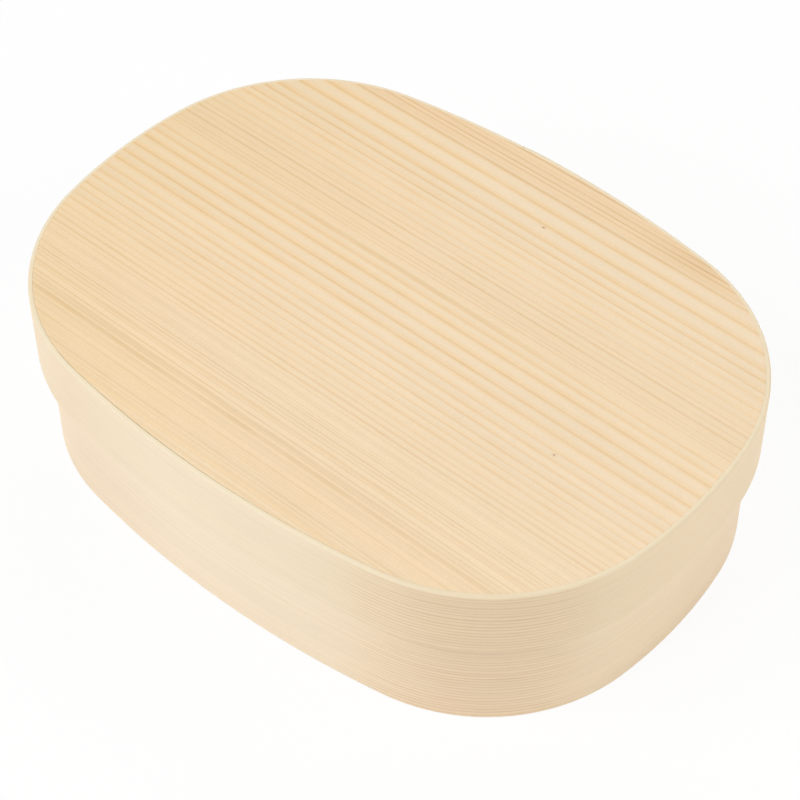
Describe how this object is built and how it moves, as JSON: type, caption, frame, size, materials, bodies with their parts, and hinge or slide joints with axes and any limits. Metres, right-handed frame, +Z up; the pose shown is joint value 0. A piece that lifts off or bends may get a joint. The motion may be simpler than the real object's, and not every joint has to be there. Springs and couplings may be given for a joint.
{
  "type": "bento box",
  "caption": "Oblong bent-wood lunch box: a hoop round a flat base board, a shallow covering lid that lifts straight off, and a loose divider that slides inside.",
  "frame": {"origin": "centre of the base board's underside, which the box stands on", "axes": "+X along the length of the box, +Z up; the laced laps are at +Y, the back"},
  "size_m": [0.18, 0.1328, 0.049],
  "materials": {
    "base_board": "planed, unvarnished",
    "body_band": "sanded, unvarnished",
    "body_lacing": "satin bark",
    "lid_board": "planed, unvarnished",
    "lid_band": "sanded, unvarnished",
    "lid_lacing": "satin bark",
    "divider": "planed, unvarnished"
  },
  "bodies": {
    "box": {"base_board": "base_board", "body_band": "body_band", "body_lacing": "body_lacing"},
    "lid": {"lid_board": "lid_board", "lid_band": "lid_band", "lid_lacing": "lid_lacing"},
    "divider": {"divider": "divider"}
  },
  "joints": [
    {"name": "lid_lift", "type": "slide", "parent": "box", "child": "lid", "axis": [0, 0, 1], "range_m": [0, 0.06]},
    {"name": "divider_slide", "type": "slide", "parent": "box", "child": "divider", "axis": [1, 0, 0], "range_m": [-0.056, 0]}
  ]
}
